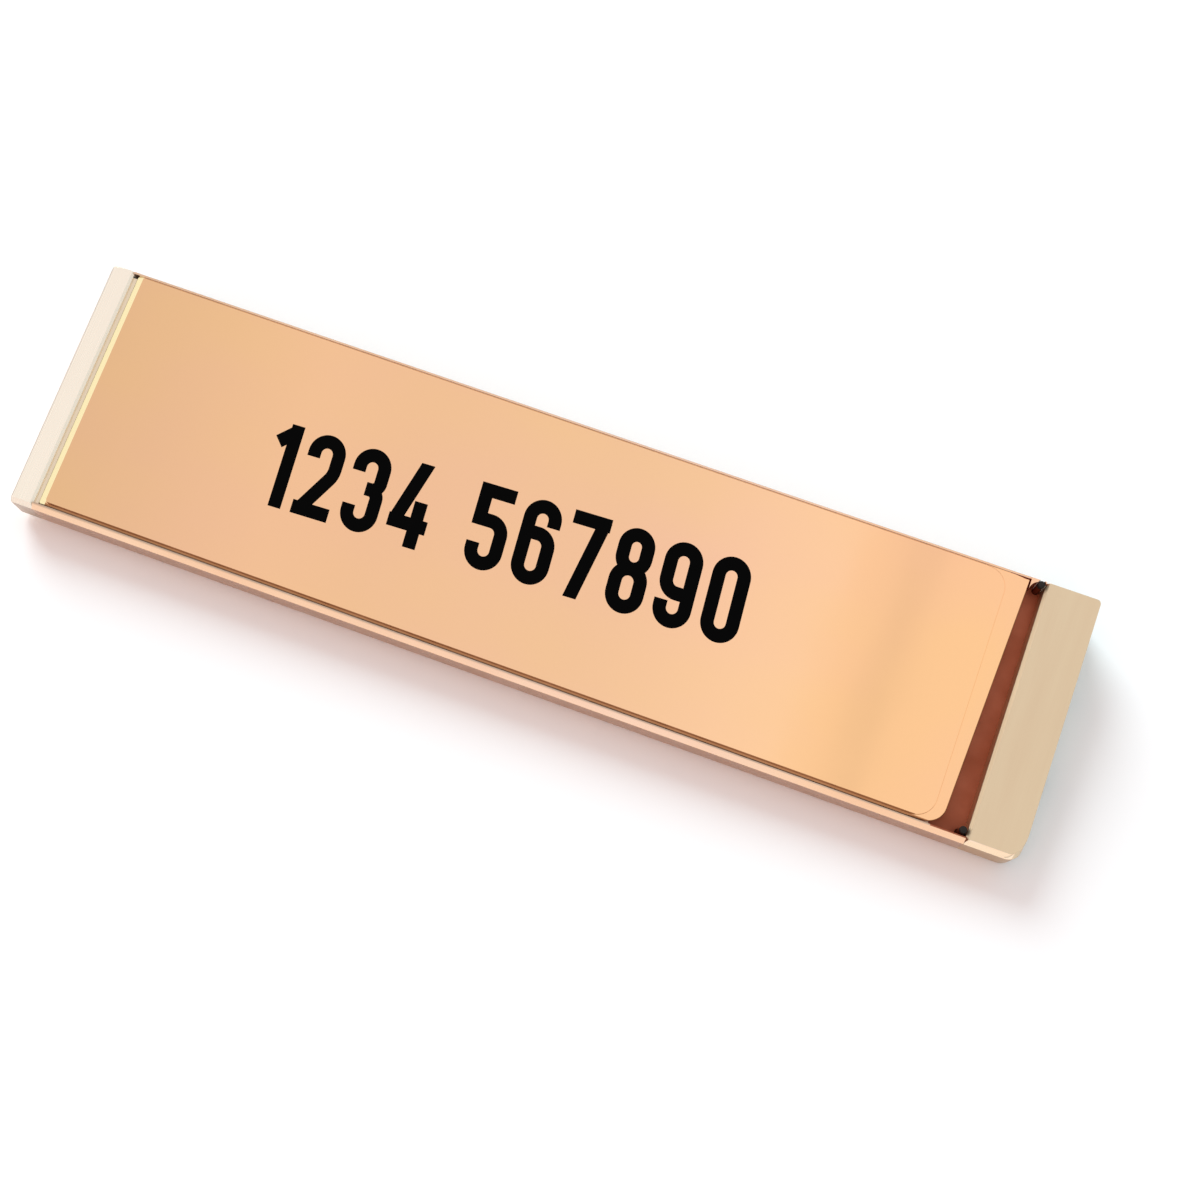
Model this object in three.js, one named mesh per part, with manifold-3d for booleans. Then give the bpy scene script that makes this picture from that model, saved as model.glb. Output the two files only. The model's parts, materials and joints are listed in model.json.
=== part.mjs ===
// A low desk name plate: a slim wedge of plated metal whose face leans back by a few degrees.
// A mirror-polished insert lies in a tray between a thin left cap and a broad right block.
// It is a carrier plate with a thin facing sheet bonded on it, and magnets in the bed hold it.
// The carrier's bare right end reaches over a finger gap, so that the insert can be lifted out.
// Units are millimetres, X runs along the plate, Y to the rear and Z up.
// The origin is under the middle of the plate, on the surface it stands on.
import * as THREE from "three";
import { mergeVertices } from "three/addons/utils/BufferGeometryUtils.js";
import Module from "manifold-3d";

// Driving sizes of the whole plate
const plateLength = 204.3;
const faceWidth = 50.8;
const faceTilt = THREE.MathUtils.degToRad(6);
const frontHeight = 8;
const footHeight = 1.4;
const frontBandReach = 0.9;
const frontBandDrop = 0.9;

// End pieces
const leftCapLength = 4.6;
const rightBlockLength = 10.6;
const cornerRadius = 0.8;
const blockFrontRadius = 3;
const capChamfer = 0.45;
const blockChamfer = 0.7;
const capLedgeReach = 0.6;
const capLedgeDepth = 0.75;
const capLedgeThickness = 1.2;

// Insert: a carrier plate, the facing sheet on it and the steel sheet bonded under it
const facingThickness = 0.2;
const insertThickness = 1;
const insertEdge = 0.2;
const insertLeftGap = 0.9;
const insertFrontGap = 0.4;
const insertRearGap = 0.4;
const leftBevelWidth = 1.4;
const leftBevelDepth = 0.45;
const insertRadii = { frontLeft: 2, frontRight: 3.5, rearRight: 0.5, rearLeft: 0.6 };
const liftEdgeWidth = 2.05;
const facingInset = 0.15;
const facingRadii = { frontLeft: 1, frontRight: 4, rearRight: 4, rearLeft: 0.3 };
const backingThickness = 0.5;
const backingMargin = 2.5;

// Tray of the holder body
const lipThickness = 0.4;
const bondGap = 0.1;
const seatGap = 0.3;
const feltThickness = 0.6;
const feltWidth = 5;
const feltMargin = 3;
const bedThickness = 2.4;
const magnetRadius = 4;
const magnetThickness = 1.5;
const magnetCount = 4;
const fitGap = 0.15;

// Finger gap between the insert and the right block
const fingerGapRear = 3.2;
const fingerGapFront = 4.9;
const fingerReach = 2;
const fingerFloor = 1.4;
const gapCornerRadius = 2;
const gapCornerGap = 0.3;
const plugRadius = 0.65;
const plugEndInset = 0.85;
const plugFrontInset = 1.5;
const plugRearInset = 0.7;
const plugDepth = 1.2;
const plugProud = 0.1;

// Hollow underside, base plate and feet
const basePlateThickness = 0.8;
const basePlateGap = 0.2;
const baseRim = 2;
const hollowWall = 3.5;
const leftEndWall = 10;
const rightEndWall = 8;
const ribThickness = 2.5;
const bayCount = 3;
const footRadius = 4;
const footEndInset = 26;
const footSideInset = 10;

// Screws
const screwRadius = 1.25;
const screwHeadRadius = 2;
const screwHeadHeight = 1.1;
const socketRadius = 0.85;
const socketDepth = 0.8;
const screwCover = 0.8;
const baseScrewSideInset = 6;
const baseScrewEndInset = 5;
const endScrewSpacing = 18;
const endScrewGrip = 6;
const blockScrewWeb = 3.5;

// Smoothness of round shapes and the overshoot of cutting tools
const roundSteps = 24;
const cornerSteps = 6;
const cutOver = 2;

// Sizes that follow from the ones above
const depth = faceWidth * Math.cos(faceTilt);
const halfDepth = depth / 2;
const frontWall = -halfDepth - frontBandReach;
const rearHeight = frontHeight + faceWidth * Math.sin(faceTilt);
const leftEnd = -plateLength / 2;
const rightEnd = plateLength / 2;
const bodyLeft = leftEnd + leftCapLength;
const bodyRight = rightEnd - rightBlockLength;
const baseTop = footHeight + basePlateThickness;
const carrierTop = -facingThickness - bondGap;
const backingTop = carrierTop - insertThickness - bondGap;
const recessDepth = -backingTop + backingThickness + seatGap + feltThickness + bondGap;
const fingerDepth = (frontHeight - baseTop - fingerFloor) * Math.cos(faceTilt);
const insertLeft = bodyLeft + insertLeftGap;
const insertFront = lipThickness + insertFrontGap;
const insertRear = faceWidth - lipThickness - insertRearGap;
const insertRightFront = bodyRight - fingerGapFront;
const insertRightRear = bodyRight - fingerGapRear;
const facingRight = insertRightFront - liftEdgeWidth;
const gapLeft = insertRightFront - fingerReach;
const hollowLeft = bodyLeft + leftEndWall;
const hollowRight = gapLeft - rightEndWall;
const frontScrewY = -endScrewSpacing / 2;
const rearScrewY = endScrewSpacing / 2;

const wasm = await Module();
wasm.setup();

const finishes = {
  mirrorRoseGold: new THREE.MeshStandardMaterial({ color: 0xf2bf95, metalness: 1, roughness: 0.08 }),
  roseGoldPlating: new THREE.MeshStandardMaterial({ color: 0xe9b890, metalness: 1, roughness: 0.18 }),
  paleGoldPolish: new THREE.MeshStandardMaterial({ color: 0xfff0d6, metalness: 1, roughness: 0.2 }),
  satinGold: new THREE.MeshStandardMaterial({ color: 0xdec7a4, metalness: 0.9, roughness: 0.45 }),
  sheetSteel: new THREE.MeshStandardMaterial({ color: 0xa9abad, metalness: 1, roughness: 0.4 }),
  nickel: new THREE.MeshStandardMaterial({ color: 0xc9c8c4, metalness: 1, roughness: 0.25 }),
  blackSteel: new THREE.MeshStandardMaterial({ color: 0x2a2826, metalness: 0.8, roughness: 0.45 }),
  blackFelt: new THREE.MeshStandardMaterial({ color: 0x1d1a19, metalness: 0, roughness: 0.95 }),
  blackRubber: new THREE.MeshStandardMaterial({ color: 0x191817, metalness: 0, roughness: 0.8 }),
};

// Turns a closed geometry into a solid that can be joined and cut.
function solidOf(geometry) {
  const bare = geometry.clone();
  bare.deleteAttribute("normal");
  bare.deleteAttribute("uv");
  const merged = mergeVertices(bare, 1e-4);
  return new wasm.Manifold(
    new wasm.Mesh({
      numProp: 3,
      vertProperties: new Float32Array(merged.attributes.position.array),
      triVerts: new Uint32Array(merged.index.array),
    }),
  );
}

// Turns a solid back into a geometry with flat faces.
function geometryOf(solid) {
  const mesh = solid.getMesh();
  const indexed = new THREE.BufferGeometry();
  indexed.setAttribute("position", new THREE.BufferAttribute(mesh.vertProperties, 3));
  indexed.setIndex(new THREE.BufferAttribute(mesh.triVerts, 1));
  const flat = indexed.toNonIndexed();
  flat.computeVertexNormals();
  return flat;
}

function cut(geometry, tools) {
  let solid = solidOf(geometry);
  for (const tool of tools) solid = solid.subtract(solidOf(tool));
  return geometryOf(solid);
}

function meshOf(name, geometry, finish) {
  const mesh = new THREE.Mesh(geometry, finish);
  mesh.name = name;
  return mesh;
}

// A box between two corners.
function block(low, high) {
  const size = high.map((value, i) => value - low[i]);
  const middle = high.map((value, i) => (value + low[i]) / 2);
  return new THREE.BoxGeometry(...size).translate(...middle);
}

// A cylinder along Z from one height to another.
function rod(radius, from, to, steps = roundSteps) {
  const geometry = new THREE.CylinderGeometry(radius, radius, to - from, steps);
  return geometry.rotateX(Math.PI / 2).translate(0, 0, (from + to) / 2);
}

// A section drawn in Y and Z, drawn out along X.
function prismAlongX(section, from, to) {
  const shape = new THREE.Shape(section.map(([y, z]) => new THREE.Vector2(y, z)));
  const geometry = new THREE.ExtrudeGeometry(shape, { depth: to - from, bevelEnabled: false });
  const turn = new THREE.Matrix4().makeBasis(
    new THREE.Vector3(0, 1, 0),
    new THREE.Vector3(0, 0, 1),
    new THREE.Vector3(1, 0, 0),
  );
  return geometry.applyMatrix4(turn).translate(from, 0, 0);
}

// An outline whose corners, given in anticlockwise order, are rounded by their own radii.
function roundedShape(corners) {
  const points = corners.flatMap(({ at, radius }, i) => {
    if (radius === 0) return [at];
    const toBefore = corners.at(i - 1).at.clone().sub(at).normalize();
    const toAfter = corners[(i + 1) % corners.length].at.clone().sub(at).normalize();
    const halfAngle = Math.acos(toBefore.dot(toAfter)) / 2;
    const inward = toBefore.clone().add(toAfter).normalize();
    const centre = at.clone().addScaledVector(inward, radius / Math.sin(halfAngle));
    const start = at.clone().addScaledVector(toBefore, radius / Math.tan(halfAngle)).sub(centre);
    const turn = (Math.PI - 2 * halfAngle) / cornerSteps;
    const origin = new THREE.Vector2();
    return Array.from({ length: cornerSteps + 1 }, (_, step) =>
      start.clone().rotateAround(origin, step * turn).add(centre),
    );
  });
  return new THREE.Shape(points);
}

// Height of the sloping face above the surface, at a place across the plate.
function faceHeight(y) {
  return frontHeight + (y + halfDepth) * Math.tan(faceTilt);
}

// Height of a plane that lies below the face and follows its slope.
function heightBelowFace(y, below) {
  return faceHeight(y) - below / Math.cos(faceTilt);
}

// The frame of the sloping face: X along the front edge, Y up the slope, Z out of the face.
function placeOnSlope(object) {
  object.position.set(0, -halfDepth, frontHeight);
  object.rotation.x = faceTilt;
  object.updateMatrix();
  return object;
}

const slopeMatrix = placeOnSlope(new THREE.Object3D()).matrix;

function onSlope(geometry) {
  return geometry.applyMatrix4(slopeMatrix);
}

// The outside section of the wedge, whose front has a slanted band between the face and the upright wall.
function wedgeSection() {
  return [
    [frontWall, footHeight],
    [halfDepth, footHeight],
    [halfDepth, rearHeight],
    [-halfDepth, frontHeight],
    [frontWall, frontHeight - frontBandDrop],
  ];
}

function spread(count, from, to) {
  return Array.from({ length: count }, (_, i) => from + ((i + 0.5) * (to - from)) / count);
}

function magnetPlaces() {
  const middle = (insertFront + insertRear) / 2;
  return spread(magnetCount, hollowLeft, hollowRight).map((x) => [x, middle]);
}

// The plugs stand upright in the gap's corners beside the block, the rear one in a notch of the lip.
function plugPlaces() {
  const x = bodyRight - plugEndInset;
  return { front: [x, plugFrontInset - halfDepth], rear: [x, halfDepth - plugRearInset] };
}

function plugBottom(y) {
  return heightBelowFace(y, fingerDepth) - plugDepth;
}

function baseScrewPlaces() {
  const side = halfDepth - baseScrewSideInset;
  const left = hollowLeft - baseScrewEndInset;
  const right = hollowRight + baseScrewEndInset;
  return {
    front_left: [left, -side],
    front_right: [right, -side],
    rear_left: [left, side],
    rear_right: [right, side],
  };
}

function footPlaces() {
  const side = halfDepth - footSideInset;
  const left = bodyLeft + footEndInset;
  const right = bodyRight - footEndInset;
  return {
    front_left: [left, -side],
    front_right: [right, -side],
    rear_left: [left, side],
    rear_right: [right, side],
  };
}

// End screws sit midway between the base plate and the floor of the tray or finger gap.
function endScrewHeight(y, floorDepth) {
  return (baseTop + heightBelowFace(y, floorDepth)) / 2;
}

// A countersunk screw with its flat head at zero and its shank along +Z.
function countersunkScrew(length) {
  const profile = [
    [0, 0],
    [screwHeadRadius, 0],
    [screwRadius, screwHeadHeight],
    [screwRadius, length],
    [0, length],
  ].map(([radius, height]) => new THREE.Vector2(radius, height));
  const geometry = new THREE.LatheGeometry(profile, roundSteps).rotateX(Math.PI / 2);
  return cut(geometry, [rod(socketRadius, -cutOver, socketDepth, 6)]);
}

// The room that a countersunk screw needs, reaching out past its head.
function countersunkHole(length) {
  const profile = [
    [0, -cutOver],
    [screwHeadRadius + fitGap, -cutOver],
    [screwHeadRadius + fitGap, fitGap],
    [screwRadius + fitGap, screwHeadHeight + fitGap],
    [screwRadius + fitGap, length + fitGap],
    [0, length + fitGap],
  ].map(([radius, height]) => new THREE.Vector2(radius, height));
  return new THREE.LatheGeometry(profile, roundSteps).rotateX(Math.PI / 2);
}

function baseScrewLength(y) {
  return heightBelowFace(y, recessDepth) - screwCover - footHeight;
}

// The screw at a corner of the base plate points up.
function atBase(geometry, [x, y]) {
  return geometry.translate(x, y, footHeight);
}

// A screw in the left cap points right, and its head lies in the end face.
function atLeftEnd(geometry, y) {
  return geometry.rotateY(Math.PI / 2).translate(leftEnd, y, endScrewHeight(y, recessDepth));
}

// A screw in the right block points left, and its head lies at the bottom of a counterbore.
function atRightEnd(geometry, y) {
  const headPlane = bodyRight + blockScrewWeb;
  return geometry.rotateY(-Math.PI / 2).translate(headPlane, y, endScrewHeight(y, fingerDepth));
}

function hollowBays() {
  const floor = footHeight - cutOver;
  const front = -halfDepth + hollowWall;
  const rear = halfDepth - hollowWall;
  const roof = recessDepth + bedThickness;
  const section = [
    [front, floor],
    [rear, floor],
    [rear, heightBelowFace(rear, roof)],
    [front, heightBelowFace(front, roof)],
  ];
  const bayLength = (hollowRight - hollowLeft - (bayCount - 1) * ribThickness) / bayCount;
  return Array.from({ length: bayCount }, (_, i) => {
    const from = hollowLeft + i * (bayLength + ribThickness);
    return prismAlongX(section, from, from + bayLength);
  });
}

// A cut into the face between the lips: its front wall is square to the face, its rear wall upright.
function faceCut(from, to, below) {
  const floor = new THREE.Vector3(0, lipThickness, -below).applyMatrix4(slopeMatrix);
  const mouth = new THREE.Vector3(0, lipThickness, cutOver).applyMatrix4(slopeMatrix);
  const rear = halfDepth - lipThickness;
  const section = [
    [floor.y, floor.z],
    [rear, heightBelowFace(rear, below)],
    [rear, rearHeight + cutOver],
    [mouth.y, mouth.z],
  ];
  return prismAlongX(section, from, to);
}

// The rounded corner that the cutter leaves between the finger gap's rear end and the insert.
function gapCorner() {
  const left = insertRightRear + gapCornerGap;
  const right = left + gapCornerRadius;
  const lip = halfDepth - lipThickness;
  const outline = new THREE.Shape();
  outline.moveTo(left, lip - gapCornerRadius);
  outline.absarc(right, lip - gapCornerRadius, gapCornerRadius, Math.PI, Math.PI / 2, true);
  outline.lineTo(right, halfDepth);
  outline.lineTo(left, halfDepth);
  const floor = heightBelowFace(lip - gapCornerRadius, fingerDepth) - bondGap;
  const column = new THREE.ExtrudeGeometry(outline, {
    depth: rearHeight - floor,
    bevelEnabled: false,
    curveSegments: 2 * cornerSteps,
  });
  return column.translate(0, 0, floor);
}

// The tray runs the whole length of the body, and the caps close its ends.
function holderBody() {
  const tray = faceCut(bodyLeft - cutOver, bodyRight + cutOver, recessDepth);
  const fingerGap = faceCut(gapLeft, bodyRight + cutOver, fingerDepth);
  const rebate = block(
    [bodyLeft + baseRim, -halfDepth + baseRim, footHeight - cutOver],
    [bodyRight - baseRim, halfDepth - baseRim, baseTop],
  );
  const pockets = magnetPlaces().map(([x, y]) =>
    onSlope(
      rod(magnetRadius + fitGap, -recessDepth - magnetThickness - bondGap, -recessDepth + cutOver)
        .translate(x, y, 0),
    ),
  );
  const plugHoles = Object.values(plugPlaces()).map(([x, y]) =>
    rod(plugRadius + fitGap, plugBottom(y) - bondGap, rearHeight + cutOver).translate(x, y, 0),
  );
  const baseHoles = Object.values(baseScrewPlaces()).map((place) =>
    atBase(countersunkHole(baseScrewLength(place[1])), place),
  );
  const endHoles = [frontScrewY, rearScrewY].flatMap((y) => [
    atLeftEnd(countersunkHole(leftCapLength + endScrewGrip), y),
    atRightEnd(countersunkHole(blockScrewWeb + endScrewGrip), y),
  ]);
  const tools = [tray, fingerGap, rebate, ...hollowBays(), ...pockets, ...baseHoles, ...endHoles];
  const outside = prismAlongX(wedgeSection(), bodyLeft, bodyRight);
  const corner = solidOf(gapCorner()).intersect(solidOf(outside));
  const filled = geometryOf(solidOf(cut(outside, tools)).add(corner));
  return meshOf("holder_body", cut(filled, plugHoles), finishes.roseGoldPlating);
}

// An end piece has the section of the wedge and a plan with rounded outer corners.
function endPiece(from, to, radii) {
  const plan = roundedShape([
    { at: new THREE.Vector2(from, frontWall), radius: radii.frontLeft },
    { at: new THREE.Vector2(to, frontWall), radius: radii.frontRight },
    { at: new THREE.Vector2(to, halfDepth), radius: radii.rearRight },
    { at: new THREE.Vector2(from, halfDepth), radius: radii.rearLeft },
  ]);
  const height = rearHeight + cutOver;
  const column = new THREE.ExtrudeGeometry(plan, { depth: height, bevelEnabled: false });
  return solidOf(prismAlongX(wedgeSection(), from, to)).intersect(solidOf(column));
}

// A 45 degree strip taken off the top edge of an end piece, where it meets the tray.
function edgeChamfer(x, size) {
  const bar = block([-size, -cutOver, -size], [size, faceWidth + cutOver, size]);
  return onSlope(bar.rotateY(Math.PI / 4).translate(x, 0, 0));
}

// A ledge on the cap reaches into the tray and closes the gap beside the insert's bevel.
function capLedge() {
  return onSlope(
    block(
      [bodyLeft - capLedgeReach, lipThickness + seatGap, -capLedgeDepth - capLedgeThickness],
      [bodyLeft + capLedgeReach, faceWidth - 2 * lipThickness - seatGap, -capLedgeDepth],
    ),
  );
}

function leftCap() {
  const radii = { frontLeft: cornerRadius, frontRight: 0, rearRight: 0, rearLeft: cornerRadius };
  const solid = [frontScrewY, rearScrewY].reduce(
    (rest, y) => rest.subtract(solidOf(atLeftEnd(countersunkHole(leftCapLength + cutOver), y))),
    endPiece(leftEnd, bodyLeft, radii),
  );
  const chamfered = solid.subtract(solidOf(edgeChamfer(bodyLeft, capChamfer / Math.SQRT2)));
  return meshOf("left_end_cap", geometryOf(chamfered.add(solidOf(capLedge()))), finishes.paleGoldPolish);
}

function rightBlock() {
  const radii = { frontLeft: 0, frontRight: blockFrontRadius, rearRight: cornerRadius, rearLeft: 0 };
  const counterbore = (y) =>
    rod(screwHeadRadius + fitGap, 0, rightBlockLength + cutOver).rotateY(Math.PI / 2)
      .translate(bodyRight + blockScrewWeb, y, endScrewHeight(y, fingerDepth));
  const solid = [frontScrewY, rearScrewY].reduce(
    (rest, y) =>
      rest
        .subtract(solidOf(atRightEnd(countersunkHole(blockScrewWeb + cutOver), y)))
        .subtract(solidOf(counterbore(y))),
    endPiece(bodyRight, rightEnd, radii),
  );
  const chamfered = solid.subtract(solidOf(edgeChamfer(bodyRight, blockChamfer / Math.SQRT2)));
  return meshOf("right_end_block", geometryOf(chamfered), finishes.satinGold);
}

// A flat outline on the face, whose right end may run askew.
function faceOutline(left, rightFront, rightRear, inset, radii) {
  return roundedShape([
    { at: new THREE.Vector2(left, insertFront + inset), radius: radii.frontLeft },
    { at: new THREE.Vector2(rightFront, insertFront + inset), radius: radii.frontRight },
    { at: new THREE.Vector2(rightRear, insertRear - inset), radius: radii.rearRight },
    { at: new THREE.Vector2(left, insertRear - inset), radius: radii.rearLeft },
  ]);
}

// The carrier's right end runs a little askew, so that the finger gap opens towards the front.
function nameInsert() {
  const outline = faceOutline(insertLeft, insertRightFront, insertRightRear, 0, insertRadii);
  const plate = new THREE.ExtrudeGeometry(outline, {
    depth: insertThickness - 2 * insertEdge,
    bevelThickness: insertEdge,
    bevelSize: insertEdge,
    bevelOffset: -insertEdge,
    bevelSegments: 1,
  }).translate(0, 0, carrierTop + insertEdge - insertThickness);
  const bevel = new THREE.Shape([
    new THREE.Vector2(insertLeft - leftBevelWidth, carrierTop - 2 * leftBevelDepth),
    new THREE.Vector2(insertLeft + 2 * leftBevelWidth, carrierTop + leftBevelDepth),
    new THREE.Vector2(insertLeft - leftBevelWidth, carrierTop + leftBevelDepth),
  ]);
  const wedge = new THREE.ExtrudeGeometry(bevel, { depth: faceWidth, bevelEnabled: false })
    .rotateX(Math.PI / 2)
    .translate(0, faceWidth, 0);
  return meshOf("name_insert", cut(plate, [wedge]), finishes.mirrorRoseGold);
}

// The facing sheet starts where the carrier's left bevel ends, and leaves its right end bare.
function nameFacing() {
  const left = insertLeft + leftBevelWidth;
  const outline = faceOutline(left, facingRight, facingRight, facingInset, facingRadii);
  const sheet = new THREE.ExtrudeGeometry(outline, { depth: facingThickness, bevelEnabled: false });
  return meshOf("name_facing", sheet.translate(0, 0, -facingThickness), finishes.mirrorRoseGold);
}

function insertBacking() {
  const geometry = block(
    [insertLeft + backingMargin, insertFront + backingMargin, backingTop - backingThickness],
    [insertRightFront - backingMargin, insertRear - backingMargin, backingTop],
  );
  return meshOf("insert_backing", geometry, finishes.sheetSteel);
}

// Felt strips along both sides of the bed carry the insert.
function feltStrip(name, front) {
  const low = [insertLeft + backingMargin, front, -recessDepth + bondGap];
  const high = [gapLeft - feltMargin, front + feltWidth, -recessDepth + bondGap + feltThickness];
  return meshOf(name, block(low, high), finishes.blackFelt);
}

function magnets() {
  return magnetPlaces().map(([x, y], i) => {
    const mesh = meshOf(`magnet_${i + 1}`, rod(magnetRadius, -magnetThickness, 0), finishes.nickel);
    mesh.position.set(x, y, -recessDepth);
    return mesh;
  });
}

function gapPlugs() {
  return Object.entries(plugPlaces()).map(([side, [x, y]]) => {
    const shank = rod(plugRadius, plugBottom(y), faceHeight(y) + plugProud);
    return meshOf(`gap_plug_${side}`, shank.translate(x, y, 0), finishes.blackRubber);
  });
}

function basePlate() {
  const inset = baseRim + basePlateGap;
  const sheet = block(
    [bodyLeft + inset, -halfDepth + inset, footHeight],
    [bodyRight - inset, halfDepth - inset, baseTop],
  );
  const holes = Object.values(baseScrewPlaces()).map((place) =>
    atBase(countersunkHole(basePlateThickness + cutOver), place),
  );
  return meshOf("base_plate", cut(sheet, holes), finishes.sheetSteel);
}

function baseScrews() {
  return Object.entries(baseScrewPlaces()).map(([corner, place]) =>
    meshOf(
      `base_screw_${corner}`,
      atBase(countersunkScrew(baseScrewLength(place[1])), place),
      finishes.blackSteel,
    ),
  );
}

function endScrews() {
  return [
    ["front", frontScrewY],
    ["rear", rearScrewY],
  ].flatMap(([side, y]) => [
    meshOf(
      `left_cap_screw_${side}`,
      atLeftEnd(countersunkScrew(leftCapLength + endScrewGrip), y),
      finishes.nickel,
    ),
    meshOf(
      `right_block_screw_${side}`,
      atRightEnd(countersunkScrew(blockScrewWeb + endScrewGrip), y),
      finishes.nickel,
    ),
  ]);
}

function feet() {
  return Object.entries(footPlaces()).map(([corner, [x, y]]) => {
    const mesh = meshOf(`foot_${corner}`, rod(footRadius, 0, footHeight), finishes.blackRubber);
    mesh.position.set(x, y, 0);
    return mesh;
  });
}

const namePlate = new THREE.Group();
namePlate.add(holderBody(), leftCap(), rightBlock(), basePlate());
namePlate.add(...baseScrews(), ...endScrews(), ...feet(), ...gapPlugs());

const slope = placeOnSlope(new THREE.Group());
slope.add(nameInsert(), nameFacing(), insertBacking());
slope.add(feltStrip("felt_strip_front", insertFront + feltMargin));
slope.add(feltStrip("felt_strip_rear", insertRear - feltMargin - feltWidth));
slope.add(...magnets());
namePlate.add(slope);

// The front band reaches out past the face, so the plate moves back by half of that to stay centred.
for (const piece of namePlate.children) piece.position.y += frontBandReach / 2;

export default namePlate;
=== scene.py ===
# %% [markdown]
# # A rose gold desk name plate
#
# The real object is a slim metal wedge. A mirror-polished insert lies in a shallow tray, between a thin
# pale cap on the left and a broad satin block on the right. A dark gap beside the block gives a
# fingernail room to lift the insert out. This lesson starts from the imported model, whose nodes are exact
# but plain, and gives each visible piece soft edges and a finish. Lengths are in metres, X runs along
# the plate and Z is up.

# %% Load the frame
import json
import math

import bmesh
import bpy
from mathutils import Matrix, Vector


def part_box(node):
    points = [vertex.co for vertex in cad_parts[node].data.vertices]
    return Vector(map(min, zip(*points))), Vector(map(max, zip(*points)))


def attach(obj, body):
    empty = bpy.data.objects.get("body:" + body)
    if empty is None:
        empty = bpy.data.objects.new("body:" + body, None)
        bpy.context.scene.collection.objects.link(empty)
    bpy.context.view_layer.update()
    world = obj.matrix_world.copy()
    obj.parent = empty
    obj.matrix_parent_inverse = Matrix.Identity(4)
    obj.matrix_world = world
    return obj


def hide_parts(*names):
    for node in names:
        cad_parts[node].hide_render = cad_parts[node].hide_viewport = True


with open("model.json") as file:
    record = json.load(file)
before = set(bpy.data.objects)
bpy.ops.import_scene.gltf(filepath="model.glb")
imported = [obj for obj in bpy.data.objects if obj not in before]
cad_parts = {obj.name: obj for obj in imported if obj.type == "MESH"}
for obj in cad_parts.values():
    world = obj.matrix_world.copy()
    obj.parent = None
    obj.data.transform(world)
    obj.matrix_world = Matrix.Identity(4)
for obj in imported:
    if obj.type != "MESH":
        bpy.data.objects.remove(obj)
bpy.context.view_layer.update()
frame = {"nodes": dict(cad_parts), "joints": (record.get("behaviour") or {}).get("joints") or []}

# %% [markdown]
# ## A frame for the sloping face
#
# Nearly everything that shows lies on a face that leans back by six degrees. Working in the face's own
# coordinates is much simpler: X along the plate, the second axis up the slope, the third out of the
# face. The insert's joint lifts it straight off the face, so the joint's axis is the face's normal. A
# slanted band lies in front of the face and catches the light.

# %% The face's own axes
MM = 0.001
lift = frame["joints"][0]
face_normal = Vector(lift["axis"]).normalized()
along = Vector((1, 0, 0))
up_slope = face_normal.cross(along)
block_low, block_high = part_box("right_end_block")
tilt = math.atan2(up_slope.z, up_slope.y)
FRONT_BAND = 0.9 * MM
front_y = block_low.y + FRONT_BAND
face_depth = block_high.y - front_y
front_height = block_high.z - face_depth * math.tan(tilt)
front_edge = Vector((0, front_y, front_height))
FACE = Matrix.Translation(front_edge) @ Matrix((along, up_slope, face_normal)).transposed().to_4x4()
face_width = face_depth / math.cos(tilt)
print(f"Face leans back {math.degrees(tilt):.1f} degrees and is {face_width / MM:.1f} mm wide")


# %% Measure a node in the face's axes
def face_box(node):
    """Lowest and highest corner of a node in the face's own axes."""
    to_face = FACE.inverted()
    corners = [to_face @ vertex.co for vertex in frame["nodes"][node].data.vertices]
    low = Vector([min(corner[axis] for corner in corners) for axis in range(3)])
    high = Vector([max(corner[axis] for corner in corners) for axis in range(3)])
    return low, high


insert_box = [tuple(round(c / MM, 2) for c in corner) for corner in face_box("name_insert")]
print("Insert in face axes:", insert_box)

# %% [markdown]
# ## The camera
#
# The photograph looks down at the plate from its front right. Four corners and the straight edges of the
# outline were enough to fit this upright camera: an angle around, an angle above the horizon, a distance
# and two small shifts of the aim. A 45 mm lens on a 36 mm sensor gives the same perspective as the
# photograph.

# %% Place the camera
CAMERA_AROUND = math.radians(20.16)
CAMERA_ABOVE = math.radians(73.51)
CAMERA_DISTANCE = 0.297104
CAMERA_ASIDE = 0.010611
CAMERA_RISE = -0.006687

camera_right = Vector((math.cos(CAMERA_AROUND), math.sin(CAMERA_AROUND), 0))
camera_back = Vector((
    math.sin(CAMERA_AROUND) * math.cos(CAMERA_ABOVE),
    -math.cos(CAMERA_AROUND) * math.cos(CAMERA_ABOVE),
    math.sin(CAMERA_ABOVE),
))
camera_up = camera_back.cross(camera_right)
camera_data = bpy.data.cameras.new("camera")
camera_data.lens = 45
camera_data.sensor_width = 36
camera_data.clip_start = 0.005
camera = bpy.data.objects.new("camera", camera_data)
bpy.context.scene.collection.objects.link(camera)
camera_place = camera_back * CAMERA_DISTANCE + camera_right * CAMERA_ASIDE + camera_up * CAMERA_RISE
camera_axes = Matrix((camera_right, camera_up, camera_back)).transposed().to_4x4()
camera.matrix_world = Matrix.Translation(camera_place) @ camera_axes
bpy.context.scene.camera = camera
print("Camera at", tuple(round(c, 4) for c in camera_place))

# %% [markdown]
# ## Soft studio light
#
# The world lights the object evenly. Light Path lets the camera and every reflection see a white room
# instead of the dimmer grey that lights diffuse surfaces. A polished plate is only as lively as the room
# it mirrors, so that room is slightly darker overhead to the left, one soft seam runs across it, as
# between two panels of a light tent, and a bright panel stands low at the far left. Diffuse surfaces get
# warm light from the front and cooler light from the right. The key lamp shines from low behind the left
# end, and throws a soft shadow forward.

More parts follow.
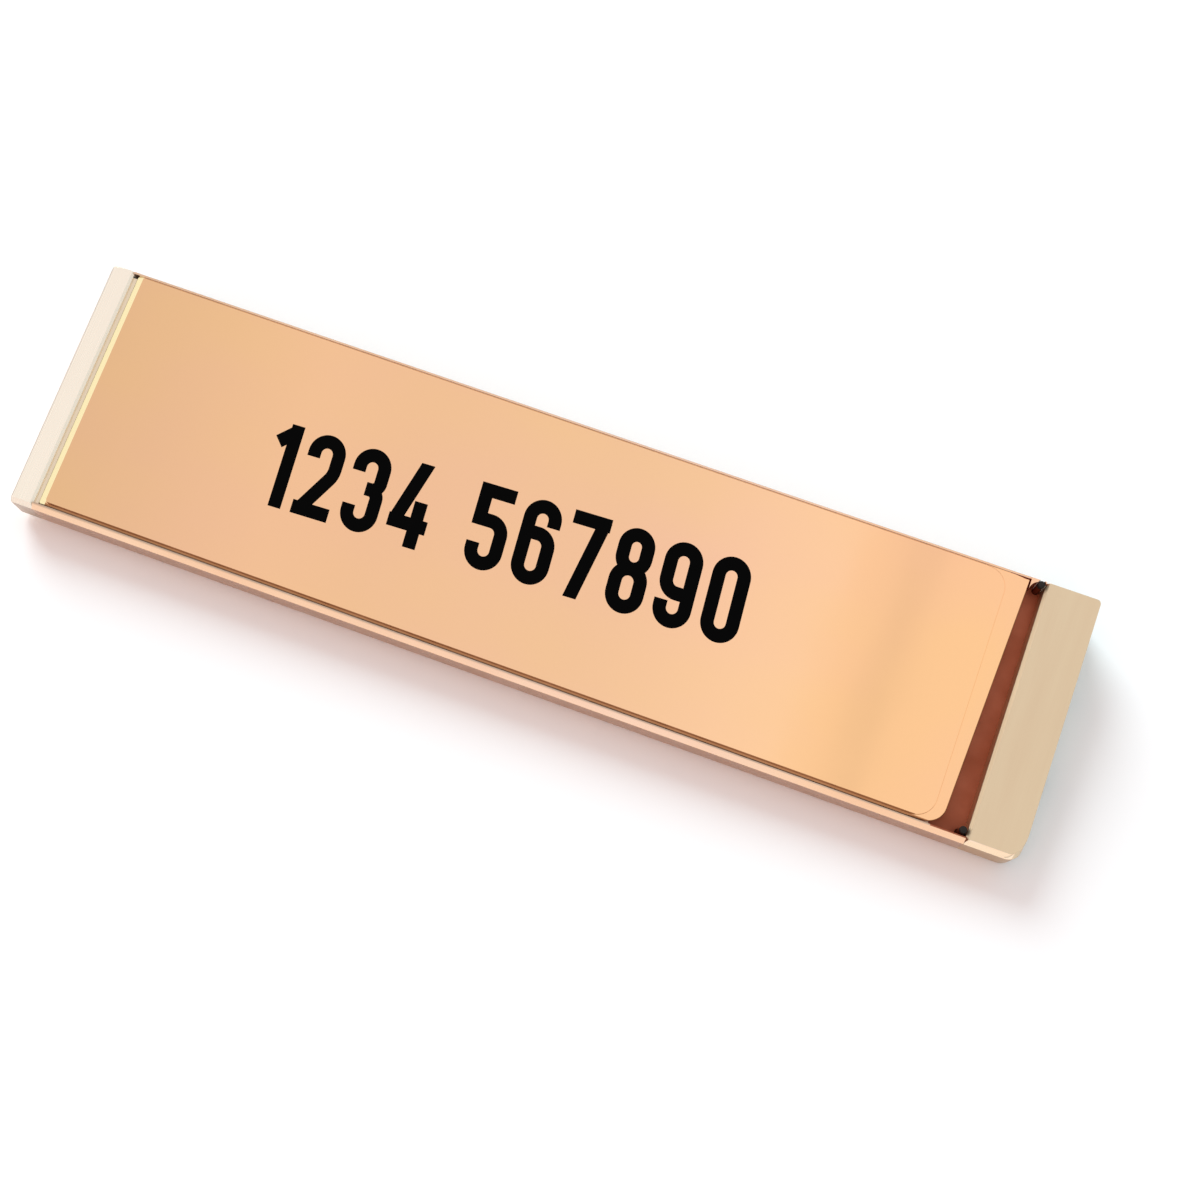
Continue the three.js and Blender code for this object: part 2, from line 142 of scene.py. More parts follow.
# %% Helpers for node trees
def add_node(tree, kind, **values):
    """A node of a kind, with some of its inputs or properties set."""
    node = tree.nodes.new(kind)
    for name, value in values.items():
        socket = node.inputs.get(name.replace("_", " "))
        if socket is not None:
            socket.default_value = value
        else:
            setattr(node, name, value)
    return node


def wire(tree, source, target):
    tree.links.new(source, target)


def calculate(tree, operation, first, second=None):
    """A Math node on sockets or plain numbers; returns its output."""
    node = tree.nodes.new("ShaderNodeMath")
    node.operation = operation
    for socket, value in zip(node.inputs, (first, second)):
        if isinstance(value, (int, float)):
            socket.default_value = value
        elif value is not None:
            wire(tree, value, socket)
    return node.outputs[0]


def ramped(tree, value, start, end, low=0.0, high=1.0, smooth=False):
    """A Map Range node that runs from low at start to high at end; returns its output."""
    node = add_node(tree, "ShaderNodeMapRange", From_Min=start, From_Max=end, To_Min=low, To_Max=high)
    if smooth:
        node.interpolation_type = "SMOOTHSTEP"
    wire(tree, value, node.inputs["Value"])
    return node.outputs["Result"]


def ramp_of(tree, factor, colors, top):
    """A colour ramp from (place, colour) pairs, divided by the highest value that they reach."""
    ramp = tree.nodes.new("ShaderNodeValToRGB")
    stops = ramp.color_ramp.elements
    while len(stops) < len(colors):
        stops.new(0.5)
    for stop, (place, color) in zip(stops, colors):
        stop.position = place
        stop.color = [value / top for value in color] + [1]
    wire(tree, factor, ramp.inputs["Fac"])
    return ramp.outputs["Color"]


# %% The world
AMBIENT_WARM = (1.14, 0.73, 0.62)
AMBIENT_COOL = (0.48, 0.77, 0.88)
AMBIENT_TOP = 1.2
COOL_SIDE = (0.9, 0.45)
COOL_EDGE = (-0.25, 0.4)
ROOM_TOP = 1.6
ROOM_TONES = [
    (-1.0, 1.45),
    (-0.62, 1.5),
    (-0.5, 0.81),
    (-0.44, 0.81),
    (-0.36, 0.88),
    (-0.31, 0.925),
    (-0.25, 0.905),
    (-0.16, 0.92),
    (-0.107, 0.92),
    (-0.056, 0.95),
    (0.0, 1.0),
    (0.05, 1.025),
    (0.074, 1.0),
    (0.09, 0.93),
    (0.1, 0.9),
    (0.106, 1.0),
    (0.13, 1.02),
]
ROOM_TINTS = [
    (-0.3, (1.0, 0.99, 0.99)),
    (-0.16, (1.0, 1.0, 1.06)),
    (-0.08, (1.0, 1.0, 1.1)),
    (0.0, (1.0, 1.01, 1.09)),
    (0.045, (1.0, 1.01, 1.06)),
    (0.065, (1.0, 0.96, 0.93)),
    (0.1, (1.0, 0.96, 0.93)),
]
HORIZON_TONE = 0.55
HORIZON_HEIGHT = (0.02, 0.17)
FRONT_TONE = 1.04
FRONT_EDGE = (-0.5, -0.8)
PANEL_EDGE = (-0.5, -0.62)
PANEL_HEIGHT = (0.28, 0.4)
PANEL_DIMMING = 0.33

world = bpy.data.worlds.new("light_tent")
bpy.context.scene.world = world
world.use_nodes = True
tree = world.node_tree
tree.nodes.clear()
direction = add_node(tree, "ShaderNodeTexCoord")
split = add_node(tree, "ShaderNodeSeparateXYZ")
wire(tree, direction.outputs["Generated"], split.inputs[0])
across = ramped(tree, split.outputs["X"], -1.0, 1.0)
tone_stops = [((place + 1) / 2, (tone, tone, tone)) for place, tone in ROOM_TONES]
tint_stops = [((place + 1) / 2, tint) for place, tint in ROOM_TINTS]
tones = ramp_of(tree, across, tone_stops, ROOM_TOP)
tints = ramp_of(tree, across, tint_stops, ROOM_TOP)
horizon = ramped(tree, split.outputs["Z"], *HORIZON_HEIGHT, HORIZON_TONE, 1.0, smooth=True)
in_panel = ramped(tree, split.outputs["X"], *PANEL_EDGE)
front = ramped(tree, split.outputs["Y"], *FRONT_EDGE, 0.0, FRONT_TONE / ROOM_TOP)
brighter = calculate(tree, "MAXIMUM", tones, front)
height_tone = calculate(tree, "MAXIMUM", horizon, in_panel)
above_panel = ramped(tree, split.outputs["Z"], *PANEL_HEIGHT, 0.0, PANEL_DIMMING, smooth=True)
dimming = calculate(tree, "MULTIPLY", in_panel, above_panel)
overhead = calculate(tree, "MULTIPLY", height_tone, calculate(tree, "SUBTRACT", 1.0, dimming))
room = calculate(tree, "MULTIPLY", calculate(tree, "MULTIPLY", brighter, overhead), ROOM_TOP * ROOM_TOP)
to_right = calculate(tree, "MULTIPLY", split.outputs["X"], COOL_SIDE[0])
to_rear = calculate(tree, "MULTIPLY", split.outputs["Y"], COOL_SIDE[1])
coolness = ramped(tree, calculate(tree, "ADD", to_right, to_rear), *COOL_EDGE, smooth=True)
ambient = ramp_of(tree, coolness, [(0, AMBIENT_WARM), (1, AMBIENT_COOL)], AMBIENT_TOP)
rays = add_node(tree, "ShaderNodeLightPath")
mirrored = calculate(tree, "MAXIMUM", rays.outputs["Is Glossy Ray"], rays.outputs["Is Transmission Ray"])
lit = add_node(tree, "ShaderNodeBackground", Strength=AMBIENT_TOP)
wire(tree, ambient, lit.inputs["Color"])
reflected = add_node(tree, "ShaderNodeBackground")
wire(tree, tints, reflected.inputs["Color"])
wire(tree, room, reflected.inputs["Strength"])
white = add_node(tree, "ShaderNodeBackground", Strength=1.0, Color=(1, 1, 1, 1))
with_mirrors = add_node(tree, "ShaderNodeMixShader")
wire(tree, mirrored, with_mirrors.inputs[0])
wire(tree, lit.outputs[0], with_mirrors.inputs[1])
wire(tree, reflected.outputs[0], with_mirrors.inputs[2])
seen = add_node(tree, "ShaderNodeMixShader")
wire(tree, rays.outputs["Is Camera Ray"], seen.inputs[0])
wire(tree, with_mirrors.outputs[0], seen.inputs[1])
wire(tree, white.outputs[0], seen.inputs[2])
world_output = add_node(tree, "ShaderNodeOutputWorld")
wire(tree, seen.outputs[0], world_output.inputs[0])
print("World nodes:", len(tree.nodes))

# %% The key lamp
# A far lamp, so that its light is equally strong all over the floor. Its angle makes the shadows soft.
KEY_AROUND = math.radians(-42)
KEY_ABOVE = math.radians(28)
KEY_ANGLE = math.radians(33)
KEY_STRENGTH = 2.6

key_direction = Vector((
    math.sin(KEY_AROUND) * math.cos(KEY_ABOVE),
    math.cos(KEY_AROUND) * math.cos(KEY_ABOVE),
    math.sin(KEY_ABOVE),
))
key_data = bpy.data.lights.new("key_lamp", "SUN")
key_data.angle = KEY_ANGLE
key_data.energy = KEY_STRENGTH
key_data.color = (0.74, 0.95, 1.0)
key = bpy.data.objects.new("key_lamp", key_data)
bpy.context.scene.collection.objects.link(key)
key.matrix_world = key_direction.to_track_quat("Z", "Y").to_matrix().to_4x4()
key.visible_glossy = False
print("Key lamp shines from", tuple(round(c, 3) for c in key_direction))

# %% The floor
FLOOR_SIZE = 6.0
floor_mesh = bpy.data.meshes.new("floor")
floor_bm = bmesh.new()
bmesh.ops.create_grid(floor_bm, x_segments=1, y_segments=1, size=FLOOR_SIZE / 2)
floor_bm.to_mesh(floor_mesh)
floor_bm.free()
floor = bpy.data.objects.new("floor", floor_mesh)
bpy.context.scene.collection.objects.link(floor)
floor_paint = bpy.data.materials.new("pale_floor")
floor_paint.use_nodes = True
floor_shader = floor_paint.node_tree.nodes["Principled BSDF"]
floor_shader.inputs["Base Color"].default_value = (0.96, 0.96, 0.96, 1)
floor_shader.inputs["Roughness"].default_value = 1.0
floor_shader.inputs["Specular IOR Level"].default_value = 0.0
floor_mesh.materials.append(floor_paint)

# %% [markdown]
# ## Finishes
#
# Polished metal has almost no colour of its own texture, so its life comes from small things: roughness
# that varies where hands have wiped it, and a surface that isn't quite flat. Brushed metal has fine
# parallel scratches, which are noise stretched along one direction. All patterns read Object
# coordinates, and a value that is the same all over a surface is set on the shader's own socket.


# %% Helpers for finishes
def srgb(red, green, blue):
    """A colour given as 0 to 255, as linear values."""
    def linear(value):
        value /= 255
        return value / 12.92 if value <= 0.04045 else ((value + 0.055) / 1.055) ** 2.4
    return (linear(red), linear(green), linear(blue), 1)


def new_finish(name, color, metallic, roughness, specular=0.5):
    """A material whose even values stand on the principled shader's own sockets."""
    material = bpy.data.materials.new(name)
    material.use_nodes = True
    shader = material.node_tree.nodes["Principled BSDF"]
    shader.inputs["Base Color"].default_value = color
    shader.inputs["Metallic"].default_value = metallic
    shader.inputs["Roughness"].default_value = roughness
    shader.inputs["Specular IOR Level"].default_value = specular
    material.diffuse_color = color
    return material


def noise_of(material, feature, stretch=(1, 1, 1), detail=2.0, turn=0.0):
    """Noise on Object coordinates; feature is its size in metres and stretch lengthens it along an axis."""
    tree = material.node_tree
    coordinates = add_node(tree, "ShaderNodeTexCoord")
    mapping = add_node(tree, "ShaderNodeMapping")
    mapping.inputs["Rotation"].default_value = (-turn, 0, 0)
    mapping.inputs["Scale"].default_value = [1 / amount for amount in stretch]
    noise = add_node(tree, "ShaderNodeTexNoise", Scale=1 / feature, Detail=detail)
    wire(tree, coordinates.outputs["Object"], mapping.inputs["Vector"])
    wire(tree, mapping.outputs["Vector"], noise.inputs["Vector"])
    return noise.outputs["Fac"]


NOISE_SPREAD = (0.3, 0.7)


def vary_color(material, pattern, low_color, high_color):
    """The base colour runs from one colour to another as the pattern does."""
    tree = material.node_tree
    stops = [(place, color[:3]) for place, color in zip(NOISE_SPREAD, (low_color, high_color))]
    wire(tree, ramp_of(tree, pattern, stops, 1), tree.nodes["Principled BSDF"].inputs["Base Color"])


def vary_roughness(material, pattern, low, high):
    tree = material.node_tree
    roughness = ramped(tree, pattern, *NOISE_SPREAD, low, high)
    wire(tree, roughness, tree.nodes["Principled BSDF"].inputs["Roughness"])


def add_bump(material, pattern, depth):
    """A bump whose height is the pattern times a depth in metres; a second bump adds to the first."""
    tree = material.node_tree
    normal = tree.nodes["Principled BSDF"].inputs["Normal"]
    bump = add_node(tree, "ShaderNodeBump", Strength=1.0, Distance=depth)
    wire(tree, pattern, bump.inputs["Height"])
    if normal.is_linked:
        wire(tree, normal.links[0].from_socket, bump.inputs["Normal"])
    wire(tree, bump.outputs["Normal"], normal)


def grained_metal(name, color, roughness, spread, depth, patches=0.003):
    """A metal finish of the given colour, with patches where it is wiped more or less, and a very fine
    grain. Most of its colours here are painted shade, and two are painted highlights.
    """
    material = new_finish(name, color, metallic=1.0, roughness=roughness)
    vary_roughness(material, noise_of(material, patches), *spread)
    add_bump(material, noise_of(material, 0.0006), depth)
    return material


# %% Mirror-polished rose gold
# Rolled sheet has a faint waviness, and its plating drifts a little between yellow and pink.
mirror = new_finish("mirror_rose_gold", srgb(252, 201, 155), metallic=1.0, roughness=0.06)
vary_color(mirror, noise_of(mirror, 0.03, stretch=(1.6, 1, 1)), srgb(251, 199, 158), srgb(252, 203, 152))
vary_roughness(mirror, noise_of(mirror, 0.012, detail=4.0), 0.045, 0.085)
add_bump(mirror, noise_of(mirror, 0.05, stretch=(0.6, 1.4, 1)), 0.00006)

# %% Painted shade on the insert's edges
# The insert's strip in front of its facing, the facing's front bevel and the insert's rounded right end are
# painted brown: painted shade of the narrow groove along the front and of the finger gap.
insert_edge_shade = grained_metal("insert_edge_painted_shade", srgb(180, 126, 86), 0.3, (0.26, 0.36), 0.000003)
vary_color(insert_edge_shade, noise_of(insert_edge_shade, 0.006, detail=3.0), srgb(174, 120, 80), srgb(186, 132, 92))

# %% A painted highlight on the insert's left bevel
# The bevel at the left end is painted paler and yellower than the plated face beside it: a painted
# highlight, on top of its real reflection of the bright panel at the far left.
left_bevel_highlight = grained_metal("bright_bevel", srgb(255, 239, 188), 0.1, (0.08, 0.14), 0.000001)

# %% Rose gold plating
# The tray is cast and then polished too, so its plating is only a little softer than the insert's mirror.
plating = new_finish("rose_gold_plating", srgb(248, 206, 172), metallic=1.0, roughness=0.09)
vary_color(plating, noise_of(plating, 0.02), srgb(246, 201, 166), srgb(249, 209, 176))
vary_roughness(plating, noise_of(plating, 0.004, detail=4.0), 0.07, 0.12)
add_bump(plating, noise_of(plating, 0.0007, detail=3.0), 0.000002)

# %% Painted shade in the tray and on the front walls
# Inside the tray, on the lip chamfers and on the front walls the plating is painted browner and darker:
# painted shade of the narrow groove and of the shadowed floor that the walls mirror.
tray_shade_finish = grained_metal("tray_painted_shade", srgb(206, 178, 154), 0.3, (0.26, 0.36), 0.000003)
vary_color(tray_shade_finish, noise_of(tray_shade_finish, 0.01, detail=3.0), srgb(200, 172, 148), srgb(212, 184, 160))
wall = grained_metal("front_wall_painted_shade", srgb(192, 156, 130), 0.28, (0.22, 0.34), 0.000003)
vary_color(wall, noise_of(wall, 0.01, detail=3.0), srgb(190, 154, 128), srgb(194, 158, 132))

# %% Painted shade and a painted highlight on the two end pieces
# The cap's front wall, the ledge beside the insert and the cap's rounded outer edge are painted darker:
# painted shade.
cap_wall = grained_metal("pale_gold_wall_painted_shade", srgb(168, 143, 122), 0.3, (0.26, 0.36), 0.000002)
cap_line = grained_metal("pale_gold_ledge_painted_shade", srgb(240, 220, 192), 0.3, (0.26, 0.36), 0.000002)
cap_rim = grained_metal("pale_gold_rim_painted_shade", srgb(206, 196, 184), 0.3, (0.26, 0.36), 0.000002)
# The block's front wall is painted darker, a painted shade, and its slanted front band paler, a painted
# highlight on top of its real reflection of the bright room in front.
block_wall = new_finish("satin_gold_wall_painted_shade", srgb(200, 172, 140), metallic=1.0, roughness=0.34)
wall_brushing = noise_of(block_wall, 0.0004, stretch=(20, 20, 1))
vary_roughness(block_wall, wall_brushing, 0.3, 0.4)
add_bump(block_wall, wall_brushing, 0.000004)
block_band_highlight = grained_metal("satin_gold_band_painted_highlight", srgb(252, 226, 196), 0.12, (0.1, 0.16), 0.000002,
                       patches=0.002)

# %% Painted shade inside the finger gap
# The inside of the narrow finger gap is painted a dark reddish brown: painted shade, which makes the gap
# look deep.
gap_shade_finish = new_finish("finger_gap_painted_shade", srgb(166, 92, 66), metallic=0.45, roughness=0.36, specular=0.1)
vary_color(gap_shade_finish, noise_of(gap_shade_finish, 0.008, detail=3.0), srgb(152, 80, 54), srgb(174, 100, 74))
vary_roughness(gap_shade_finish, noise_of(gap_shade_finish, 0.003), 0.3, 0.42)
add_bump(gap_shade_finish, noise_of(gap_shade_finish, 0.0005, detail=3.0), 0.00001)

# %% Painted shade low down on the gap plugs
# The plugs' shanks stand down in the finger gap and are painted its dark reddish brown: painted shade.
shank_painted_shade = new_finish("shank_painted_shade", srgb(96, 44, 30), metallic=0.0, roughness=0.8, specular=0.0)
vary_roughness(shank_painted_shade, noise_of(shank_painted_shade, 0.003), 0.7, 0.9)
add_bump(shank_painted_shade, noise_of(shank_painted_shade, 0.0005), 0.000004)

# %% Pale gold polish
pale_gold = new_finish("pale_gold_polish", srgb(249, 238, 221), metallic=0.5, roughness=0.26)
cap_lines = noise_of(pale_gold, 0.0003, stretch=(1, 60, 20))
vary_color(pale_gold, noise_of(pale_gold, 0.01, stretch=(1, 6, 1)), srgb(248, 236, 219), srgb(250, 240, 223))
vary_roughness(pale_gold, cap_lines, 0.22, 0.29)
add_bump(pale_gold, cap_lines, 0.0000003)

# %% Satin champagne gold, brushed along the block
satin = new_finish("satin_gold", srgb(222, 202, 169), metallic=0.95, roughness=0.4)
brushing = noise_of(satin, 0.00022, stretch=(1, 60, 60), detail=3.0, turn=tilt)
drift = noise_of(satin, 0.0035, stretch=(1, 9, 4), turn=tilt)
vary_color(satin, drift, srgb(220, 198, 166), srgb(223, 203, 171))
vary_roughness(satin, brushing, 0.36, 0.46)
add_bump(satin, brushing, 0.000006)

# %% Zinc-plated sheet steel
zinc = new_finish("sheet_steel", srgb(186, 189, 192), metallic=1.0, roughness=0.38)
vary_color(zinc, noise_of(zinc, 0.006, detail=4.0), srgb(172, 175, 179), srgb(200, 202, 204))
vary_roughness(zinc, noise_of(zinc, 0.004, detail=4.0), 0.3, 0.46)
add_bump(zinc, noise_of(zinc, 0.0004, stretch=(8, 1, 1)), 0.000006)

# %% Bright nickel
nickel = new_finish("nickel", srgb(222, 220, 216), metallic=1.0, roughness=0.18)
vary_roughness(nickel, noise_of(nickel, 0.001, detail=3.0), 0.12, 0.26)
add_bump(nickel, noise_of(nickel, 0.0004), 0.000004)

# %% Black oxide steel
oxide = new_finish("black_steel", srgb(52, 51, 50), metallic=0.9, roughness=0.42)
vary_roughness(oxide, noise_of(oxide, 0.0008, detail=3.0), 0.34, 0.5)
add_bump(oxide, noise_of(oxide, 0.0003), 0.000005)

# %% Black felt
felt = new_finish("black_felt", srgb(38, 35, 34), metallic=0.0, roughness=0.95, specular=0.2)
felt_shader = felt.node_tree.nodes["Principled BSDF"]
felt_shader.inputs["Sheen Weight"].default_value = 0.4
felt_shader.inputs["Sheen Roughness"].default_value = 0.5
vary_color(felt, noise_of(felt, 0.0004, detail=5.0), srgb(26, 24, 24), srgb(52, 48, 47))
add_bump(felt, noise_of(felt, 0.00025, detail=5.0), 0.0001)

# %% Black rubber
rubber = new_finish("black_rubber", srgb(32, 26, 23), metallic=0.0, roughness=0.7, specular=0.3)
vary_roughness(rubber, noise_of(rubber, 0.002, detail=3.0), 0.6, 0.8)
add_bump(rubber, noise_of(rubber, 0.0002, detail=3.0), 0.00001)

# %% Black printed enamel
enamel = new_finish("black_enamel", srgb(4, 4, 4), metallic=0.0, roughness=0.5, specular=0.02)
vary_roughness(enamel, noise_of(enamel, 0.002, detail=3.0), 0.45, 0.6)
add_bump(enamel, noise_of(enamel, 0.0003), 0.000003)
print("Finishes:", len(bpy.data.materials))

# %% [markdown]
# ## Making a piece
#
# Real edges are never perfectly sharp: each catches a thin line of light. So every piece gets a small
# bevel on its edges. The bevel's faces are shaded smooth and the flat faces flat, so that a mirror face
# stays a perfect mirror up to its edge.


# %% Helpers for shapes
SHARP_ANGLE = math.radians(25)
MERGE_DISTANCE = 1e-6
SAME_PLACE = 0.02 * MM


def bevel(bm, edges, radius, segments=3):
    """Rounds edges and shades the new faces smooth, or chamfers them with one flat segment."""
    made = bmesh.ops.bevel(bm, geom=edges, offset=radius, offset_type="OFFSET", segments=segments,
                           profile=0.5, affect="EDGES", clamp_overlap=True, material=-1)
    for face in made["faces"]:
        face.smooth = segments > 1


def sharp_edges(bm):
    return [edge for edge in bm.edges if len(edge.link_faces) == 2 and edge.calc_face_angle() > SHARP_ANGLE]


def soften(bm, radius, segments=2):
    """Bevels every sharp edge a little."""
    bevel(bm, sharp_edges(bm), radius, segments)


def extruded(points, height):
    """A closed solid: an outline in its own plane, drawn out along a vector."""
    bm = bmesh.new()
    outline = bm.faces.new([bm.verts.new(point) for point in points])
    top = bmesh.ops.extrude_face_region(bm, geom=[outline], use_keep_orig=True)
    moved = [item for item in top["geom"] if isinstance(item, bmesh.types.BMVert)]
    bmesh.ops.translate(bm, verts=moved, vec=height)
    bmesh.ops.recalc_face_normals(bm, faces=bm.faces[:])
    return bm


def edges_at(bm, test):
    """Edges whose two ends both pass a test."""
    return [edge for edge in bm.edges if all(test(vertex.co) for vertex in edge.verts)]


def close_to(value, target):
    return abs(value - target) < SAME_PLACE


def slice_at(bm, place, normal, **options):
    """Cuts edges into the whole shape along a plane; returns what lies in the cut."""
    return bmesh.ops.bisect_plane(bm, geom=bm.verts[:] + bm.edges[:] + bm.faces[:], plane_co=place,
                                  plane_no=normal, **options)["geom_cut"]


def rectangle(low, high):
    """The corners of a box as seen along Z, from its front left and round by the right."""
    return [(low.x, low.y), (high.x, low.y), (high.x, high.y), (low.x, high.y)]


def plate(outline, bottom, top, radii=(), edge_radius=0, steps=8):
    """A plate from (x, y) corners, with a radius for each corner and softly broken edges."""
    bm = extruded([(x, y, bottom) for x, y in outline], Vector((0, 0, top - bottom)))
    for (x, y), radius in zip(outline, radii):
        corner = edges_at(bm, lambda co, x=x, y=y: close_to(co.x, x) and close_to(co.y, y))
        bevel(bm, corner, radius, segments=steps)
    if edge_radius:
        bevel(bm, edges_at(bm, lambda co: close_to(co.z, bottom)), edge_radius, segments=2)
        bevel(bm, edges_at(bm, lambda co: close_to(co.z, top)), edge_radius)
    return bm


def placed(bm, matrix):
    bmesh.ops.transform(bm, matrix=matrix, verts=bm.verts[:])
    return bm


def combined(bm, tools, operation="DIFFERENCE"):
    """The shape with other shapes cut out of it, joined to it or kept of it, by an exact boolean."""
    def as_object(shape):
        mesh = bpy.data.meshes.new("carving")
        shape.to_mesh(mesh)
        shape.free()
        made = bpy.data.objects.new("carving", mesh)
        bpy.context.scene.collection.objects.link(made)
        return made

    stock = as_object(bm)
    cutters = [as_object(tool) for tool in tools]
    for cutter in cutters:
        modifier = stock.modifiers.new("combine", "BOOLEAN")
        modifier.operation = operation
        modifier.solver = "EXACT"
        modifier.object = cutter
    result = bmesh.new()
    result.from_object(stock, bpy.context.evaluated_depsgraph_get())
    bmesh.ops.remove_doubles(result, verts=result.verts[:], dist=MERGE_DISTANCE)
    for made in [stock, *cutters]:
        mesh = made.data
        bpy.data.objects.remove(made)
        bpy.data.meshes.remove(mesh)
    return result


def turned(profile, steps=48):
    """A solid of revolution about Z, from a profile of (radius, height) that starts and ends on the axis."""
    bm = bmesh.new()
    points = [bm.verts.new((radius, 0, height)) for radius, height in profile]
    edges = [bm.edges.new(pair) for pair in zip(points, points[1:])]
    bmesh.ops.spin(bm, geom=points + edges, axis=(0, 0, 1), cent=(0, 0, 0), dvec=(0, 0, 0),
                   angle=2 * math.pi, steps=steps, use_merge=True, use_duplicate=False)
    bmesh.ops.remove_doubles(bm, verts=bm.verts[:], dist=MERGE_DISTANCE)
    bmesh.ops.recalc_face_normals(bm, faces=bm.faces[:])
    for face in bm.faces:
        face.smooth = True
    for edge in sharp_edges(bm):
        edge.smooth = False
    return bm


def finished(name, bm, body, finishes, replaces=(), place=Matrix()):
    """Makes the object, with its place in its mesh, hangs it on its body and hides the nodes that it
    replaces.
    """
    placed(bm, place)
    mesh = bpy.data.meshes.new(name)
    bm.to_mesh(mesh)
    bm.free()
    for finish in finishes:
        mesh.materials.append(finish)
    piece = bpy.data.objects.new(name, mesh)
    bpy.context.scene.collection.objects.link(piece)
    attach(piece, body)
    if replaces:
        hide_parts(*replaces)
    print(f"{name}: {len(mesh.polygons)} faces")


# %% [markdown]
# ## The holder
#
# The body is one long casting: a wedge with a shallow tray cut along its whole length, so that only a
# thin lip stands at the front and at the rear. The imported solid already has that shape, so a merged copy
# of it is the start. Its triangles are dissolved into whole faces. Each lip gets a chamfer towards the
# tray, which makes a groove with the insert's own bevel, and the other long edges are broken. The finger
# gap is painted dark reddish brown inside, and the tray and the front walls a paler brown: painted shade.

# %% Cast the holder body
LIP = 0.4 * MM
FRONT_LIP_CHAMFER = 0.28 * MM
REAR_LIP_CHAMFER = 0.06 * MM
LONG_EDGE = 2 * MM
EDGE_BREAK = 0.1 * MM
GAP_START = 0.08465
REAR_GAP_START = 0.0882
REAR_GAP_DEPTH = 49.5 * MM
INSIDE_FRONT = 0.06 * MM
INSIDE_REAR = 0.05 * MM
INSIDE_FLOOR = 2 * MM

holder_bm = bmesh.new()
holder_bm.from_mesh(frame["nodes"]["holder_body"].data)
bmesh.ops.remove_doubles(holder_bm, verts=holder_bm.verts[:], dist=MERGE_DISTANCE)
bmesh.ops.dissolve_limit(holder_bm, angle_limit=math.radians(0.5), verts=holder_bm.verts[:],
                         edges=holder_bm.edges[:])


def runs_along(edge):
    """True for a long edge that runs along the plate."""
    span = edge.verts[1].co - edge.verts[0].co
    return span.length > LONG_EDGE and abs(span.normalized().x) > 0.99


def on_face(co):
    return close_to((FACE.inverted() @ co).z, 0)


def tops_front_lip(co):
    return on_face(co) and close_to((FACE.inverted() @ co).y, LIP)


def tops_rear_lip(co):
    return on_face(co) and close_to(co.y, block_high.y - LIP)


def on_outside(co):
    at_band = on_face(co) and close_to(co.y, front_y)
    return at_band or close_to(co.y, block_low.y) or close_to(co.y, block_high.y)


for test, size, segments in ((tops_front_lip, FRONT_LIP_CHAMFER, 1), (tops_rear_lip, REAR_LIP_CHAMFER, 1),
                             (on_outside, EDGE_BREAK, 2)):
    sharp = set(sharp_edges(holder_bm))
    chosen = [edge for edge in edges_at(holder_bm, test) if edge in sharp and runs_along(edge)]
    print("Long edges:", len(chosen))
    bevel(holder_bm, chosen, size, segments)
for cut_x in (GAP_START + 0.05 * MM, REAR_GAP_START):
    slice_at(holder_bm, (cut_x, 0, 0), (1, 0, 0))


def holder_finish(face):
    """0 is polished plating, 1 the finger gap's painted shade, 2 the tray's painted shade and 3 that of the
    front walls.
    """
    middle = face.calc_center_median()
    place = FACE.inverted() @ middle
    flat = face.normal.dot(face_normal) > 0.95
    inside = place.y > INSIDE_FRONT and middle.y < block_high.y - INSIDE_REAR and middle.z > INSIDE_FLOOR
    on_lip = flat and close_to(place.z, 0)
    if inside and not on_lip:
        start = REAR_GAP_START if place.y > REAR_GAP_DEPTH and place.z > -MM else GAP_START
        return 1 if middle.x > start - 0.02 * MM else 2
    return 3 if face.normal.y < -0.9 and not inside else 0


for face in holder_bm.faces:
    face.material_index = holder_finish(face)
print("Faces of the finger gap:", sum(face.material_index == 1 for face in holder_bm.faces))
holder_finishes = (plating, gap_shade_finish, tray_shade_finish, wall)
finished("holder", holder_bm, "holder", holder_finishes, ["holder_body"])

# %% [markdown]
# ## The two end pieces
#
# Both ends are turned or milled to the wedge's section and screwed on. Their outer corners are rounded
# in plan, and a flat chamfer runs along the edge where they meet the tray. The cap is thin and slightly
# crowned from polishing, the block is broad, and brushed from front to rear.


# %% Helpers for the end pieces
def wedge_between(left, right):
    """A solid with the section of the whole plate, from one X to another."""
    rear_height = block_high.z
    section = [
        (left, block_low.y, block_low.z),
        (left, block_low.y, front_height - FRONT_BAND),
        (left, front_y, front_height),
        (left, block_high.y, rear_height),
        (left, block_high.y, block_low.z),
    ]
    return extruded(section, Vector((right - left, 0, 0)))


def upright_edge(bm, x, y):
    return edges_at(bm, lambda co: close_to(co.x, x) and close_to(co.y, y))


def front_corner(bm, x):
    """The upright edge at the front and the band's slanted edge above it."""
    return edges_at(bm, lambda co: close_to(co.x, x) and co.y < front_y + 0.01 * MM)


def top_edge(bm, x):
    """The sloping edge along the top at one X."""
    return edges_at(bm, lambda co: close_to(co.x, x) and on_face(co))


def paint(bm, on_edge):
    """Gives the second material to the upright front wall and the third to faces that pass a test."""
    for face in bm.faces:
        place = FACE.inverted() @ face.calc_center_median()
        in_front = face.normal.y < -0.5 and abs(face.normal.z) < 0.3 and place.y < MM
        face.material_index = 2 if on_edge(face, place) else int(in_front)


# %% Helpers for screw holes
SCREW_RADIUS = 1.25 * MM
HEAD_RADIUS = 2 * MM
HEAD_HEIGHT = 1.1 * MM
SCREW_ROOM = 0.15 * MM
OVERSHOOT = 2 * MM
THROUGH = 20 * MM
TO_RIGHT = Matrix.Rotation(math.pi / 2, 4, "Y")
TO_LEFT = Matrix.Rotation(-math.pi / 2, 4, "Y")


